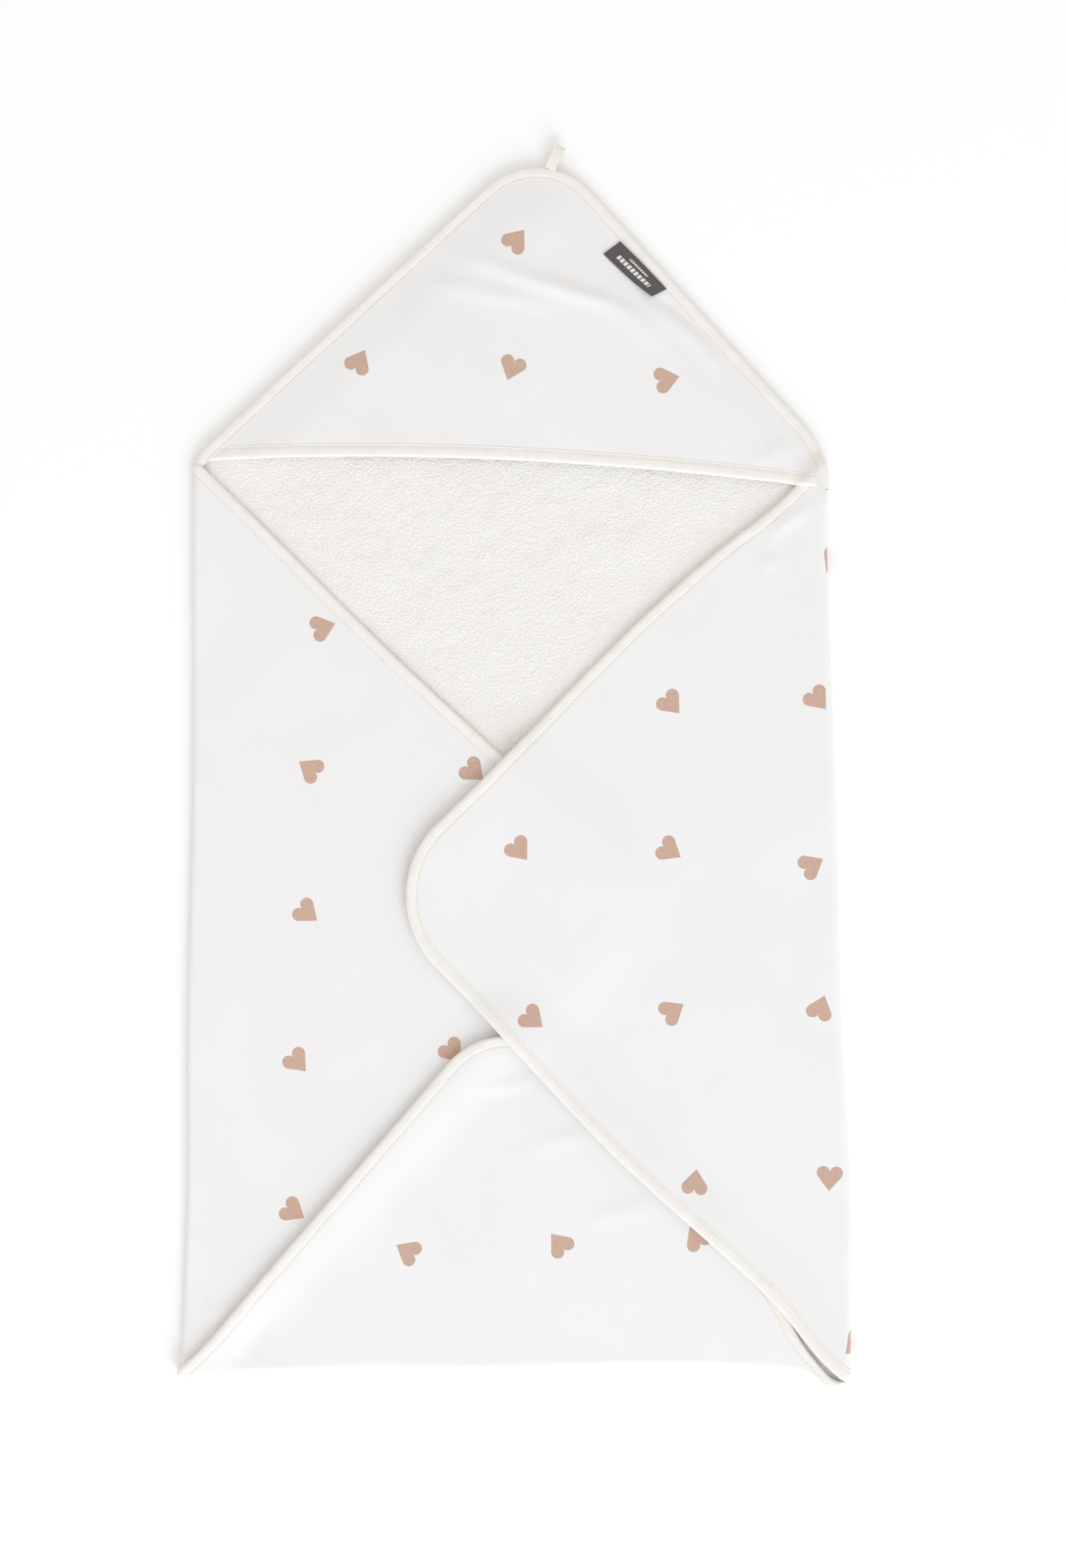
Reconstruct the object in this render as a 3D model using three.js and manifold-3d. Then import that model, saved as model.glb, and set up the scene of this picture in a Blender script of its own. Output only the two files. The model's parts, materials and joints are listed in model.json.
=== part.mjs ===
// A hooded baby towel, laid face up with its two sides and its foot folded in.
// Cotton jersey outside, looped terry inside, bias tape round every edge, a lined
// hood over one corner with a woven label in its seam, and a hanging loop.
//
// Frame: X to the right, Y towards the tip of the hood, Z up from the table.
// Every panel is a flat plate at its own level of the stack. A panel is stretched
// between the fold lines, so the corners of the folded towel drive all of them.
import * as THREE from 'three';
import { mergeVertices } from 'three/addons/utils/BufferGeometryUtils.js';
import Module from 'manifold-3d';

const wasm = await Module();
wasm.setup();

// ---- driving dimensions, millimetres -------------------------------------------------

// the folded towel, from its shoulders (where the sides fold in) to its foot
const shoulderWidth = 451;
const footWidth = 475;
const bodyLength = 655.5; // shoulder line to foot fold
const shoulderTilt = 4.8; // right shoulder higher than the left
const footTilt = -3.1; // right end of the foot fold lower than the left
const footShift = 3.2; // middle of the foot, right of the middle of the shoulders

// the hood corner, whose tip is rounded
const hoodRise = 226.5; // shoulder line to the sharp tip
const tipShift = 21.8; // tip, right of the middle of the shoulders
const tipRadius = 53;
const hemStart = 5; // hem's left end, in from the shoulder
const hemSetback = 34; // hem's right end, down the right flap's edge
const hemCrown = 14; // how high the hem's curve is drawn up

// side flaps: how far the corner lies past the middle line and down from the shoulders.
// foot flap: how far its corner lies up from the foot and right of the middle.
const leftFlap = { past: 101, down: 316, radius: 71 };
const rightFlap = { past: 106, down: 312.5, radius: 71 };
const footFlap = { up: 272, right: -4, radius: 56 };

// cloth
const jersey = 0.7;
const terry = 2.0;
const tapeWidth = 9;
const tape = 0.6; // a leg of the folded tape
const tapeFold = 0.8; // its folded edge
const thread = 0.6;
const stitchEdge = 1; // from the topstitch to the tape's inner edge

// clearances
const gap = 0.3; // between pieces that touch on the real towel
const foldGap = 1.0; // a flap, from its fold line
const lieGap = 1.2; // between stacked panels
const flapGap = 2.2; // the hood's end, from the right flap's edge
const pocketDepth = 5.4; // room for the head, laid flat

// label and hanging loop
const label = { length: 47, depth: 15, thick: 0.6, inset: 12, along: 96 };
const loop = { length: 17, width: 8, thick: 1, eye: 6, offset: 2.5 };
const loopSeat = 11; // degrees round the tip's rounding, clockwise from straight up
const loopLean = 27; // the way it points, clockwise from straight up

// ---- heights that follow ---------------------------------------------------------------

const cloth = jersey + gap + terry;
const pitch = cloth + lieGap;
const level = { back: 0, left: pitch, foot: 2 * pitch, right: 3 * pitch, hood: cloth + pocketDepth };
const stitchInset = tapeWidth - stitchEdge - thread;
const slotLow = tape;
const slotHigh = cloth - tape;
const arcSteps = 10;
const far = 900; // runs a cutter out past every edge

// ---- corners that follow -----------------------------------------------------------------

const point = (x, y) => new THREE.Vector2(x, y);
const shoulderL = point(-shoulderWidth / 2, -shoulderTilt / 2);
const shoulderR = point(shoulderWidth / 2, shoulderTilt / 2);
const footL = point(footShift - footWidth / 2, -bodyLength - footTilt / 2);
const footR = point(footShift + footWidth / 2, -bodyLength + footTilt / 2);
const tip = point(tipShift, hoodRise);

/** A point down from the shoulders and off the middle line, which runs to the middle of the foot. */
const offMiddle = (off, down) => point((footShift * down) / bodyLength + off, -down);

const cornerL = offMiddle(leftFlap.past, leftFlap.down);
const cornerR = offMiddle(-rightFlap.past, rightFlap.down);
const cornerF = offMiddle(footFlap.right, bodyLength - footFlap.up);

// ---- plane outlines ------------------------------------------------------------------------

/** Where two lines meet, each given by a point and a direction. */
function crossing(p, u, q, v) {
  const across = u.x * v.y - u.y * v.x;
  const t = ((q.x - p.x) * v.y - (q.y - p.y) * v.x) / across;
  return p.clone().addScaledVector(u, t);
}

/**
 * A convex outline given anticlockwise. Edge i runs from corner i to the next and is moved
 * inwards by insets[i]; corner i is rounded with radii[i], less what its edges moved in.
 */
function outline(corners, radii, insets) {
  const count = corners.length;
  const lines = corners.map((corner, i) => {
    const run = corners[(i + 1) % count].clone().sub(corner).normalize();
    const inward = point(-run.y, run.x);
    return { at: corner.clone().addScaledVector(inward, insets[i]), run };
  });
  const shape = new THREE.Shape();
  corners.forEach((_, i) => {
    const before = lines[(i + count - 1) % count];
    const after = lines[i];
    const corner = crossing(before.at, before.run, after.at, after.run);
    const radius = radii[i] > 0 ? Math.max(radii[i] - insets[i], 0) : 0;
    const turn = Math.acos(THREE.MathUtils.clamp(before.run.dot(after.run), -1, 1));
    const setback = radius * Math.tan(turn / 2);
    const from = corner.clone().addScaledVector(before.run, -setback);
    if (i === 0) shape.moveTo(from.x, from.y);
    else shape.lineTo(from.x, from.y);
    if (radius > 0) {
      const centre = from.clone().add(point(-before.run.y, before.run.x).multiplyScalar(radius));
      const start = Math.atan2(from.y - centre.y, from.x - centre.x);
      shape.absarc(centre.x, centre.y, radius, start, start + turn, false);
    }
  });
  shape.closePath();
  return shape;
}

/** A flap's outline: its fold from a to b, then its free corner. The free edges take edgeInset. */
function flapOutline(a, b, corner, radius, edgeInset, foldInset) {
  return outline([a, b, corner], [0, 0, radius], [foldInset, edgeInset, edgeInset]);
}

/** The back's outline. The two hood edges take edgeInset and the three folds foldInset. */
function backOutline(edgeInset, foldInset) {
  const corners = [footL, footR, shoulderR, tip, shoulderL];
  const insets = [foldInset, foldInset, edgeInset, edgeInset, foldInset];
  return outline(corners, [0, 0, 0, tipRadius, 0], insets);
}

// ---- solids ----------------------------------------------------------------------------------

/** The solid of a plane shape between two heights. */
function slab(shape, low, high) {
  const options = { depth: high - low, bevelEnabled: false, curveSegments: arcSteps };
  return solid(new THREE.ExtrudeGeometry(shape, options).translate(0, 0, low));
}

/** A closed three.js geometry as a solid that can be joined and cut. */
function solid(geometry) {
  geometry.deleteAttribute('normal');
  geometry.deleteAttribute('uv');
  const merged = mergeVertices(geometry, 1e-4);
  const vertProperties = Float32Array.from(merged.attributes.position.array);
  const triVerts = Uint32Array.from(merged.index.array);
  return new wasm.Manifold(new wasm.Mesh({ numProp: 3, vertProperties, triVerts }));
}

/** The geometry of a finished solid. */
function geometryOf(body) {
  const { vertProperties, triVerts } = body.getMesh();
  const geometry = new THREE.BufferGeometry();
  geometry.setAttribute('position', new THREE.BufferAttribute(new Float32Array(vertProperties), 3));
  geometry.setIndex(new THREE.BufferAttribute(new Uint32Array(triVerts), 1));
  return geometry;
}

/** Heights of one panel's parts. faceUp says that its terry is on top, as on the back. */
function heights(base, faceUp) {
  const outer = faceUp ? [0, jersey] : [cloth - jersey, cloth];
  const inner = faceUp ? [jersey + gap, cloth] : [0, terry];
  const tongue = [Math.max(inner[0], slotLow + gap), Math.min(inner[1], slotHigh - gap)];
  const lift = ([low, high]) => [base + low, base + high];
  return { jersey: lift(outer), terry: lift(inner), tongue: lift(tongue) };
}

/**
 * The parts of one bound panel. region(edgeInset, openInset) is the panel's plane solid maker:
 * bound edges take edgeInset, and every other edge openInset.
 */
function boundPanel(region, base, faceUp, openInset) {
  const z = heights(base, faceUp);
  const body = tapeWidth + gap;
  const inSlot = tapeFold + gap;
  const top = base + cloth;
  const band = region(0, openInset, base, top).subtract(region(tapeWidth, -far, base - 1, top + 1));
  const slot = region(tapeFold, -far, base + slotLow, base + slotHigh);
  const line = [top + gap, top + gap + thread / 2];
  const row = region(stitchInset, openInset + gap, ...line);
  return {
    jersey: region(body, openInset, ...z.jersey),
    terry: region(body, openInset, ...z.terry).add(region(inSlot, openInset, ...z.tongue)),
    binding: band.subtract(slot),
    topstitch: row.subtract(region(stitchInset + thread, -far, line[0] - 1, line[1] + 1)),
  };
}

/** A folded flap. */
function flap(a, b, corner, { radius }, base) {
  const region = (edge, open, low, high) => slab(flapOutline(a, b, corner, radius, edge, open), low, high);
  return boundPanel(region, base, false, foldGap);
}

/** The back, whose tape also stands up as the side of the hood's pocket. */
function back() {
  const region = (edge, open, low, high) => slab(backOutline(edge, open), low, high);
  const parts = boundPanel(region, level.back, true, 0);
  const [low, high] = [cloth - tape, level.hood - gap];
  const wall = region(0, 0, low, high).subtract(region(tapeFold, -far, low - 1, high + 1));
  return { jersey: parts.jersey, terry: parts.terry, binding: parts.binding.add(wall) };
}

/** The hem's lower edge, drawn up in the middle, as a curve moved up by inset. */
function hemCurve(inset) {
  const flapRun = cornerR.clone().sub(shoulderR).normalize();
  const away = point(flapRun.y, -flapRun.x);
  const start = shoulderL.clone().add(point(hemStart, inset - hemStart / 2));
  const end = shoulderR.clone().addScaledVector(flapRun, hemSetback).addScaledVector(away, flapGap);
  end.y += inset;
  const third = end.clone().sub(start).divideScalar(3);
  const rise = point(0, hemCrown);
  const one = start.clone().add(third).add(rise);
  const two = end.clone().sub(third).add(rise);
  return new THREE.CubicBezierCurve(start, one, two, end);
}

/** Everything above the hem, once its lower edge is moved up by inset. */
function aboveHem(inset, low, high) {
  const points = hemCurve(inset).getPoints(2 * arcSteps);
  const first = points[0];
  const last = points[points.length - 1];
  const sky = [point(last.x + far, last.y), point(last.x + far, far), point(first.x - far, far)];
  return slab(new THREE.Shape([point(first.x - far, first.y), ...points, ...sky]), low, high);
}

/** The hood's plan before its hem is cut: sewn edges take edgeInset, the end by the flap its gap. */
function hoodPlan(edgeInset) {
  const flapRun = cornerR.clone().sub(shoulderR).normalize();
  const away = point(flapRun.y, -flapRun.x).multiplyScalar(flapGap);
  const right = shoulderR.clone().add(away);
  const lowR = right.clone().addScaledVector(flapRun, 3 * hemSetback);
  const lowL = shoulderL.clone().add(point(0, lowR.y - shoulderL.y));
  const insets = [0, edgeInset - flapGap, edgeInset, edgeInset, edgeInset - hemStart / 2];
  return outline([lowL, lowR, right, tip, shoulderL], [0, 0, 0, tipRadius, 0], insets);
}

/** A lined hood over the tip, bound on its sewn edges and on its hem. */
function hood() {
  const base = level.hood;
  const top = base + cloth;
  const z = heights(base, false);
  const region = (edge, hem, low, high) => {
    return slab(hoodPlan(edge), low, high).intersect(aboveHem(hem, low - 1, high + 1));
  };
  const body = tapeWidth + gap;
  const inSlot = tapeFold + gap;
  const edgeBand = region(0, 0, base, top).subtract(region(tapeWidth, -far, base - 1, top + 1));
  const edgeSlot = region(tapeFold, -far, base + slotLow, base + slotHigh);
  const hemBand = region(body, 0, base, top).subtract(aboveHem(tapeWidth, base - 1, top + 1));
  const line = [top + gap, top + gap + thread / 2];
  const edgeRow = region(stitchInset, body, ...line);
  const hemRow = region(body, stitchInset, ...line);
  return {
    jersey: region(body, body, ...z.jersey),
    terry: region(body, body, ...z.terry).add(region(inSlot, inSlot, ...z.tongue)),
    edgeBinding: edgeBand.subtract(edgeSlot),
    edgeTopstitch: edgeRow.subtract(slab(hoodPlan(stitchInset + thread), line[0] - 1, line[1] + 1)),
    hemBinding: hemBand.subtract(aboveHem(tapeFold, base + slotLow, base + slotHigh)),
    hemTopstitch: hemRow.subtract(aboveHem(stitchInset + thread, line[0] - 1, line[1] + 1)),
  };
}

// ---- label and loop -----------------------------------------------------------------------------

/** Direction of the hood's right edge, down from the tip, and the way in from that edge. */
const edgeRun = shoulderR.clone().sub(tip).normalize();
const edgeIn = point(edgeRun.y, -edgeRun.x);

/** A woven label caught in the hood's right seam, lying on the hood. */
function wovenLabel() {
  const from = tip.clone().addScaledVector(edgeRun, label.along).addScaledVector(edgeIn, label.inset);
  const along = edgeRun.clone().multiplyScalar(label.length);
  const inward = edgeIn.clone().multiplyScalar(label.depth);
  const corners = [from, from.clone().add(inward), from.clone().add(inward).add(along)];
  corners.push(from.clone().add(along));
  const low = level.hood + cloth + gap;
  return slab(new THREE.Shape(corners), low, low + label.thick);
}

/** Side view of the loop: a ribbon turned back on itself, pinched at the seam, as a closed ring. */
function loopSection() {
  const high = loop.eye / 2 + loop.thick;
  const pinch = 2 * loop.thick;
  const ring = (half, start, end) => {
    const shape = new THREE.Shape();
    shape.moveTo(start, 0);
    shape.quadraticCurveTo(start + pinch, -half, start + 2 * pinch, -half);
    shape.lineTo(end - half, -half);
    shape.absarc(end - half, 0, half, -Math.PI / 2, Math.PI / 2, false);
    shape.lineTo(start + 2 * pinch, half);
    shape.quadraticCurveTo(start + pinch, half, start, 0);
    return shape;
  };
  const shape = ring(high, 0, loop.length - loop.offset);
  shape.holes.push(ring(loop.eye / 2, 1.5 * loop.thick, loop.length - loop.offset - loop.thick));
  return shape;
}

/** The hanging loop, beyond the rounded tip, half way up the hood's side. */
function hangingLoop() {
  const options = { depth: loop.width, bevelEnabled: false, curveSegments: arcSteps };
  const geometry = new THREE.ExtrudeGeometry(loopSection(), options);
  geometry.translate(loop.offset, 0, -loop.width / 2).rotateX(Math.PI / 2);
  const mesh = new THREE.Mesh(geometryOf(solid(geometry)), finish(0xf7f2ea, 0.85));
  const seat = THREE.MathUtils.degToRad(loopSeat);
  const base = roundedTipCentre().addScaledVector(point(Math.sin(seat), Math.cos(seat)), tipRadius);
  mesh.position.set(base.x, base.y, (cloth + level.hood) / 2);
  mesh.rotation.z = THREE.MathUtils.degToRad(90 - loopLean);
  return mesh;
}

/** Centre of the rounding at the hood's tip. */
function roundedTipCentre() {
  const left = shoulderL.clone().sub(tip).normalize();
  const middle = left.clone().add(edgeRun).normalize();
  const half = Math.acos(left.dot(middle));
  return tip.clone().addScaledVector(middle, tipRadius / Math.sin(half));
}

// ---- the assembly ---------------------------------------------------------------------------------

/** A fabric finish. */
function finish(color, roughness) {
  return new THREE.MeshStandardMaterial({ color, roughness, metalness: 0 });
}

const finishes = {
  jersey: finish(0xf3f2f2, 0.85),
  terry: finish(0xf1efe9, 0.95),
  binding: finish(0xf7f2ea, 0.85),
  topstitch: finish(0xefe9df, 0.7),
  label: finish(0x413b3b, 0.7),
};

const towel = new THREE.Group();

function add(name, body, material) {
  const mesh = new THREE.Mesh(geometryOf(body), material);
  mesh.name = name;
  towel.add(mesh);
}

function addPanel(prefix, parts) {
  for (const [kind, body] of Object.entries(parts)) add(`${prefix}_${kind}`, body, finishes[kind]);
}

addPanel('back', back());
addPanel('left_flap', flap(shoulderL, footL, cornerL, leftFlap, level.left));
addPanel('foot_flap', flap(footL, footR, cornerF, footFlap, level.foot));
addPanel('right_flap', flap(footR, shoulderR, cornerR, rightFlap, level.right));

const hoodParts = hood();
add('hood_jersey', hoodParts.jersey, finishes.jersey);
add('hood_terry', hoodParts.terry, finishes.terry);
add('hood_edge_binding', hoodParts.edgeBinding, finishes.binding);
add('hood_edge_topstitch', hoodParts.edgeTopstitch, finishes.topstitch);
add('hood_hem_binding', hoodParts.hemBinding, finishes.binding);
add('hood_hem_topstitch', hoodParts.hemTopstitch, finishes.topstitch);
add('woven_label', wovenLabel(), finishes.label);

const ribbon = hangingLoop();
ribbon.name = 'hanging_loop';
towel.add(ribbon);

// the origin stands on the table under the middle of the folded towel
const middle = new THREE.Box3().setFromObject(towel).getCenter(new THREE.Vector3());
towel.position.set(-middle.x, -middle.y, 0);

export default towel;
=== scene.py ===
# A hooded baby towel, lying face up with its sides and its foot folded in.
#
# The towel is one square of printed cotton jersey lined with looped terry. Each folded corner is
# worked out as one surface: flat on what lies under it, and turned over its fold in a soft roll.
# Lengths in this script are millimetres until a mesh is made.
import json

import bpy
import numpy as np
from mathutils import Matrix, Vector
from numpy.linalg import norm


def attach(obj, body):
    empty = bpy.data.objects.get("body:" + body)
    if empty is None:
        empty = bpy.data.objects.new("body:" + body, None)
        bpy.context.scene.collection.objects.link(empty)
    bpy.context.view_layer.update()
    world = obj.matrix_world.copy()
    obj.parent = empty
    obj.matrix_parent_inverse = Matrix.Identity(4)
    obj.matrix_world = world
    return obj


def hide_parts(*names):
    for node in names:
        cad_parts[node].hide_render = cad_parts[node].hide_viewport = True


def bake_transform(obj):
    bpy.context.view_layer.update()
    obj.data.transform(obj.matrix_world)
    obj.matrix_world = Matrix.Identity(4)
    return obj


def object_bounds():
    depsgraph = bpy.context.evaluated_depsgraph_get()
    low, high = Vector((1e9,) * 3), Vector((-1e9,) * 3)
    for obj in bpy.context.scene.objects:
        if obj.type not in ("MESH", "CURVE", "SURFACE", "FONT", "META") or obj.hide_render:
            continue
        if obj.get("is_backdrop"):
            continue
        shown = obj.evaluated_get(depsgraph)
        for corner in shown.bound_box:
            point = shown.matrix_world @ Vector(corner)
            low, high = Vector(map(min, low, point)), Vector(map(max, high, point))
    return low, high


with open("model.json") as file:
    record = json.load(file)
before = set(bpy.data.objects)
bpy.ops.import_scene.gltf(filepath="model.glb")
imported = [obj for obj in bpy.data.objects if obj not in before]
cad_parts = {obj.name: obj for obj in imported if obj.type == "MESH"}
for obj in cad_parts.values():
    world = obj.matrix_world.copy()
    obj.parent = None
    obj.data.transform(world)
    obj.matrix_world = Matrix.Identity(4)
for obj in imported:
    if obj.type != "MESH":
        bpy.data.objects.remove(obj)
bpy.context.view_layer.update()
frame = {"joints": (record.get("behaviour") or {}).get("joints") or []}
scene = bpy.context.scene

MM = 0.001

# ---- cloth ----

JERSEY = 0.7
CLOTH = 3.6  # jersey and terry together, with the pile standing
TAPE_WIDTH = 9.0
TAPE = 0.6
TAPE_RISE = 0.4  # the tape's top, above the cloth it covers
STITCH_LINE = 7.7  # the topstitch, in from the tape's folded edge
STITCH = 2.2
STITCH_GAP = 0.6
THREAD = 0.24  # half the thread's thickness
STITCH_HEIGHT = TAPE_RISE - 0.3
CLEAR = 0.3
SLIP = 0.05  # between a panel's two cloths
JERSEY_INSET, PILE_INSET = 2.6, 5.5  # where each cloth ends inside the tape

# ---- plan: the folds come from the frame's hinges, the rest follows the cut 


def smooth(x):
    """0 below 0, 1 above 1, and three x squared less two x cubed between."""
    x = np.clip(x, 0, 1)
    return x * x * (3 - 2 * x)


def bell(x, middle, width):
    """A bell curve of height one: e to the minus square of the distance over the width."""
    return np.exp(-(((x - middle) / width) ** 2))


def unit(vector):
    return vector / norm(vector)


def left_of(vector):
    """A plane vector turned a quarter anticlockwise."""
    return np.array([-vector[1], vector[0]])


def crossing(p, u, q, v):
    """Where the line through p along u meets the line through q along v."""
    return p + u * ((q - p) @ left_of(v)) / (u @ left_of(v))


hinge = {
    j["name"]: (np.array(j["pos_m"][:2]) / MM, unit(np.array(j["axis"][:2], float)))
    for j in frame["joints"]
    if j["name"].endswith("_fold")
}
foot_left = crossing(*hinge["left_flap_fold"], *hinge["foot_flap_fold"])
foot_right = crossing(*hinge["right_flap_fold"], *hinge["foot_flap_fold"])
shoulder_left = 2 * hinge["left_flap_fold"][0] - foot_left
shoulder_right = 2 * hinge["right_flap_fold"][0] - foot_right
shoulders = (shoulder_left + shoulder_right) / 2
feet = (foot_left + foot_right) / 2
tip = shoulders + [21.8, 226.5]
TIP_RADIUS = 53


def off_middle(off, down):
    """A point down from the shoulders and off the towel's middle line."""
    return shoulders + (feet - shoulders) * down / (shoulders - feet)[1] + [off, 0]


# ---- heights over the table ----

STEP = 2.0
X = np.arange(-290, 291, STEP)
Y = np.arange(-490, 491, STEP)
GX, GY = np.meshgrid(X, Y)


def soften(heights, size):
    """A Gaussian blur: the Fourier transform times a bell, with the border repeated outwards."""
    pad = int(3 * size / STEP) + 1
    wide = np.pad(heights, pad, mode="edge")
    fy = np.fft.fftfreq(wide.shape[0], STEP)[:, None]
    fx = np.fft.rfftfreq(wide.shape[1], STEP)[None, :]
    spectrum = np.fft.rfft2(wide) * np.exp(-2 * (np.pi * size) ** 2 * (fx**2 + fy**2))
    return np.fft.irfft2(spectrum, wide.shape)[pad:-pad, pad:-pad]


def tented(heights, reach):
    """Cloth held off by whatever stands within reach of it: the highest neighbour, step by step."""
    for _ in range(int(reach / STEP)):
        wide = np.pad(heights, 1, mode="edge")
        heights = np.maximum.reduce(
            [wide[1:-1, 1:-1], wide[:-2, 1:-1], wide[2:, 1:-1], wide[1:-1, :-2], wide[1:-1, 2:]]
        )
    return heights


def rumple(seed, size, amount):
    """The slight waves of cloth put down by hand: seeded noise, blurred, of that mean height."""
    waves = soften(np.random.default_rng(seed).normal(size=GX.shape), size)
    return waves * amount / waves.std()


def crease(points, width, height):
    """A soft ridge along a line: a bell of the distance to it, fading out at both ends."""
    points = np.array(points, float)
    runs = np.diff(points, axis=0)
    lengths = norm(runs, axis=1)
    before = np.concatenate([[0], np.cumsum(lengths)[:-1]])
    best = np.full(GX.shape, 1e9)
    share = np.zeros(GX.shape)
    for start, run, length, done in zip(points, runs, lengths, before):
        along = ((GX - start[0]) * run[0] + (GY - start[1]) * run[1]) / length
        along = np.clip(along, 0, length)
        off_x = GX - start[0] - run[0] * along / length
        off_y = GY - start[1] - run[1] * along / length
        away = np.hypot(off_x, off_y)
        nearer = away < best
        best = np.where(nearer, away, best)
        share = np.where(nearer, (done + along) / lengths.sum(), share)
    return height * bell(best, 0, width) * np.sin(np.pi * np.clip(share, 0.04, 0.96)) ** 0.8


def creased(heights, *creases):
    """Heights with creases laid in, each given as its points, its width and its height."""
    for points, width, height in creases:
        heights = heights + crease(points, width, height)
    return heights


class Relief:
    """A cloth's top over the table, read between the raster's points, with its slope."""

    def __init__(self, heights):
        slope_y, slope_x = np.gradient(heights, STEP)
        self.layers = np.stack([heights, slope_x, slope_y])

    def at(self, x, y):
        col = np.clip((x - X[0]) / STEP, 0, len(X) - 1.001)
        row = np.clip((y - Y[0]) / STEP, 0, len(Y) - 1.001)
        i, j = col.astype(int), row.astype(int)
        p, q = col - i, row - j
        grid = self.layers
        low = grid[:, j, i] * (1 - p) + grid[:, j, i + 1] * p
        high = grid[:, j + 1, i] * (1 - p) + grid[:, j + 1, i + 1] * p
        return low * (1 - q) + high * q


def found(distance, outside, inside, halvings=30):
    """Where distance passes nought between two sets of points, by halving the stretch between."""
    for _ in range(halvings):
        middle = (outside + inside) / 2
        within = distance(middle) > 0
        inside = np.where(within, middle, inside)
        outside = np.where(within, outside, middle)
    return inside


def rounded_corner(corner, back, on, radius):
    """The rounding of a corner between the edges towards back and on: centre and setback."""
    a, b = unit(back - corner), unit(on - corner)
    half = np.arccos(np.clip(a @ b, -1, 1)) / 2
    return corner + unit(a + b) * radius / np.sin(half), radius / np.tan(half)


def rounded_distance(x, y, away, centre, radius, back, on):
    """How far inside a rounded corner: the nearer edge, or the radius less the way to the centre
    for a point past both tangent points."""
    dx, dy = x - centre[0], y - centre[1]
    past = (dx * back[0] + dy * back[1] > 0) & (dx * on[0] + dy * on[1] > 0)
    return np.where(past, radius - np.hypot(dx, dy), away)


def even(points, step):
    """Points at an even step along a line of points, the step fitted to its length."""
    run = np.concatenate([[0], np.cumsum(norm(np.diff(points, axis=0), axis=1))])
    at = np.linspace(0, run[-1], int(round(run[-1] / step)) + 1)
    return np.stack([np.interp(at, run, points[:, k]) for k in range(2)], 1)


class Line:
    """A cloth's edge: its points at an even step, and the way in from it, on its right hand."""

    def __init__(self, points, step=1.3):
        self.points = even(points, step)
        run = np.gradient(self.points, axis=0)
        run /= norm(run, axis=1)[:, None]
        self.inward = np.stack([run[:, 1], -run[:, 0]], 1)
        self.at = np.arange(len(self.points)) * norm(self.points[1] - self.points[0])
        self.length = self.at[-1]

    def inside(self, along, s):
        """Points s in from the edge at lengths along it."""
        (x, y), (a, b) = (
            [np.interp(along, self.at, values[:, k]) for k in range(2)]
            for values in (self.points, self.inward)
        )
        return x + a * s, y + b * s


def stood_off(at, normal, e):
    """Points e away from at, along the normal made one long."""
    normal = normal / norm(normal, axis=-1)[..., None]
    return at + normal * np.asarray(e)[..., None]


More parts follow.
